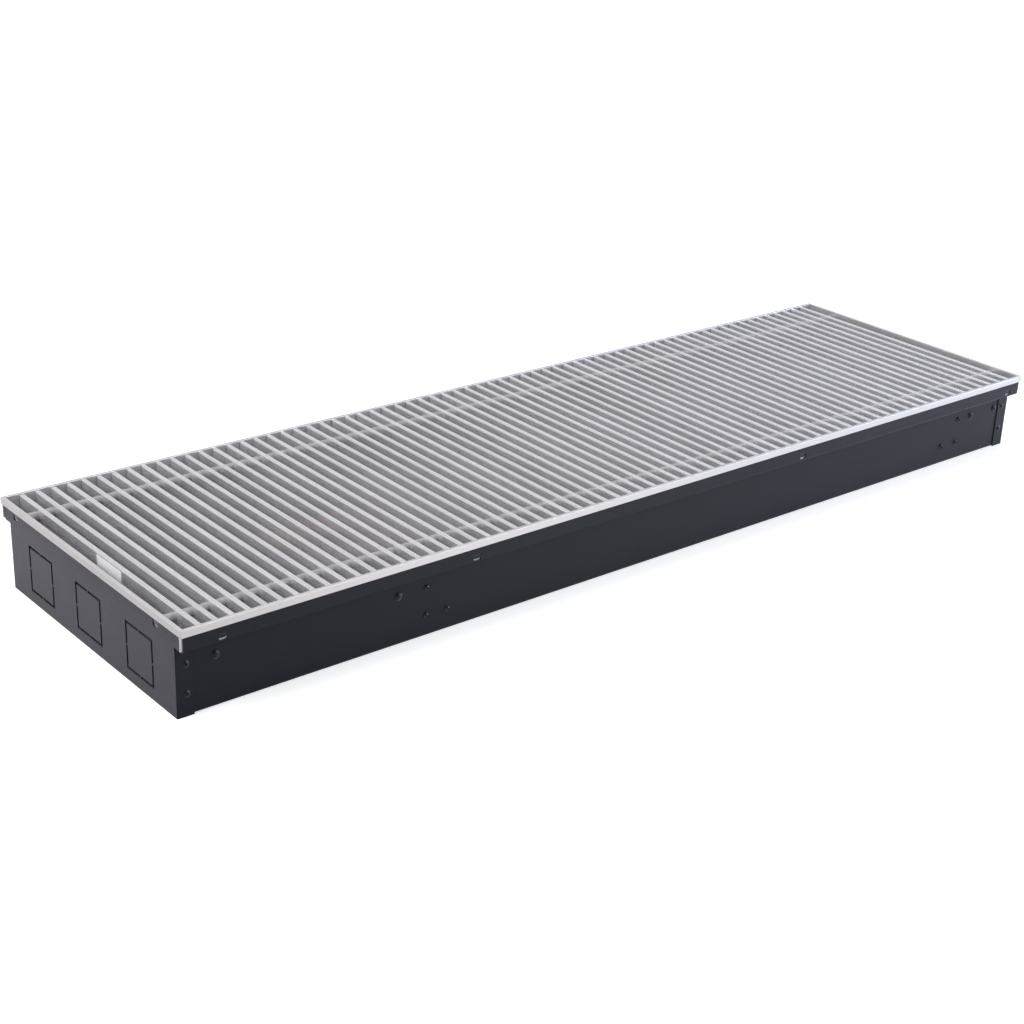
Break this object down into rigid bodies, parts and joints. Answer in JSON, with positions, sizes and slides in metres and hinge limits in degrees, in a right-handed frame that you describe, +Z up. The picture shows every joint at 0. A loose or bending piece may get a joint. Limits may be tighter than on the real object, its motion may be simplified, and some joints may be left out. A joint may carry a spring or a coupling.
{
  "type": "trench convector heater",
  "caption": "Black steel floor trough with a silver aluminium rim and a roll-up grille of cross slats over a finned copper heat exchanger.",
  "frame": {"origin": "centre of the footprint, on the surface that the trough stands on", "axes": "+X along the trench, away from the connection end; +Y across it, from the flow side to the return side; +Z up"},
  "size_m": [1.004, 0.3, 0.08],
  "materials": {
    "black_powder_coat": "fine-grained satin powder coat",
    "silver_anodised": "satin anodised extrusion",
    "slat_anodised": "satin anodised profile with drawn edges",
    "spacer_grey": "light grey moulded sleeve",
    "spring_steel": "drawn wire",
    "blank_label": "blank film label",
    "black_rubber": "matt extruded rubber",
    "fin_aluminium": "thin rolled sheet",
    "copper": "drawn copper tube, lightly tarnished",
    "brass": "turned brass",
    "zinc_plated_steel": "bright zinc plating",
    "black_nylon": "moulded nylon"
  },
  "bodies": {
    "trough": {"trough_shell": "black_powder_coat", "end_panel_left": "black_powder_coat", "end_panel_right": "black_powder_coat", "frame_rail_front": "silver_anodised", "frame_rail_back": "silver_anodised", "frame_rail_left": "silver_anodised", "frame_rail_right": "silver_anodised", "seal_strip_front": "black_rubber", "seal_strip_back": "black_rubber", "exchanger_fins": "fin_aluminium", "exchanger_bracket_left": "zinc_plated_steel", "exchanger_bracket_right": "zinc_plated_steel", "tube_grommets": "black_rubber", "flow_tube": "copper", "return_tube": "copper", "return_bend": "copper", "flow_union": "brass", "return_union": "brass", "bleed_valve_body": "brass", "bracket_screws": "black_powder_coat", "bracket_rivets": "black_powder_coat", "levelling_rivets": "black_powder_coat", "end_panel_rivets": "black_powder_coat", "levelling_bracket_1": "zinc_plated_steel", "levelling_bracket_2": "zinc_plated_steel", "levelling_bracket_3": "zinc_plated_steel", "levelling_bracket_4": "zinc_plated_steel", "levelling_nuts": "zinc_plated_steel"},
    "grille": {"grille_slats": "slat_anodised", "grille_rod_front": "spring_steel", "grille_rod_back": "spring_steel", "grille_spacers_front": "spacer_grey", "grille_spacers_back": "spacer_grey", "grille_rod_caps": "spacer_grey", "slat_label": "blank_label"},
    "bleed_screw": {"bleed_screw": "zinc_plated_steel"},
    "levelling_pad_1": {"levelling_pad_1": "black_nylon"},
    "levelling_screw_1": {"levelling_screw_1": "zinc_plated_steel"},
    "levelling_pad_2": {"levelling_pad_2": "black_nylon"},
    "levelling_screw_2": {"levelling_screw_2": "zinc_plated_steel"},
    "levelling_pad_3": {"levelling_pad_3": "black_nylon"},
    "levelling_screw_3": {"levelling_screw_3": "zinc_plated_steel"},
    "levelling_pad_4": {"levelling_pad_4": "black_nylon"},
    "levelling_screw_4": {"levelling_screw_4": "zinc_plated_steel"}
  },
  "joints": [
    {"name": "grille_lift", "type": "slide", "parent": "trough", "child": "grille", "axis": [0, 0, 1], "range_m": [0, 0.1]},
    {"name": "bleed_screw_turn", "type": "hinge", "parent": "trough", "child": "bleed_screw", "pos_m": [-0.32, -0.03, 0.052], "axis": [0, 0, 1], "range_deg": [0, 360]},
    {"name": "levelling_pad_1_travel", "type": "slide", "parent": "trough", "child": "levelling_pad_1", "axis": [0, 0, -1], "range_m": [0, 0.0201]},
    {"name": "levelling_screw_1_turn", "type": "hinge", "parent": "levelling_pad_1", "child": "levelling_screw_1", "pos_m": [-0.466, -0.1195, 0.03], "axis": [0, 0, -1], "range_deg": [0, 5760]},
    {"name": "levelling_pad_2_travel", "type": "slide", "parent": "trough", "child": "levelling_pad_2", "axis": [0, 0, -1], "range_m": [0, 0.0201]},
    {"name": "levelling_screw_2_turn", "type": "hinge", "parent": "levelling_pad_2", "child": "levelling_screw_2", "pos_m": [-0.466, 0.1195, 0.03], "axis": [0, 0, -1], "range_deg": [0, 5760]},
    {"name": "levelling_pad_3_travel", "type": "slide", "parent": "trough", "child": "levelling_pad_3", "axis": [0, 0, -1], "range_m": [0, 0.0201]},
    {"name": "levelling_screw_3_turn", "type": "hinge", "parent": "levelling_pad_3", "child": "levelling_screw_3", "pos_m": [0.4794, -0.1195, 0.03], "axis": [0, 0, -1], "range_deg": [0, 5760]},
    {"name": "levelling_pad_4_travel", "type": "slide", "parent": "trough", "child": "levelling_pad_4", "axis": [0, 0, -1], "range_m": [0, 0.0201]},
    {"name": "levelling_screw_4_turn", "type": "hinge", "parent": "levelling_pad_4", "child": "levelling_screw_4", "pos_m": [0.4794, 0.1195, 0.03], "axis": [0, 0, -1], "range_deg": [0, 5760]}
  ],
  "couplings": [
    {"joint": "levelling_pad_1_travel", "follows": "levelling_screw_1_turn", "m_per_rad": 0.00019894},
    {"joint": "levelling_pad_2_travel", "follows": "levelling_screw_2_turn", "m_per_rad": 0.00019894},
    {"joint": "levelling_pad_3_travel", "follows": "levelling_screw_3_turn", "m_per_rad": 0.00019894},
    {"joint": "levelling_pad_4_travel", "follows": "levelling_screw_4_turn", "m_per_rad": 0.00019894}
  ]
}
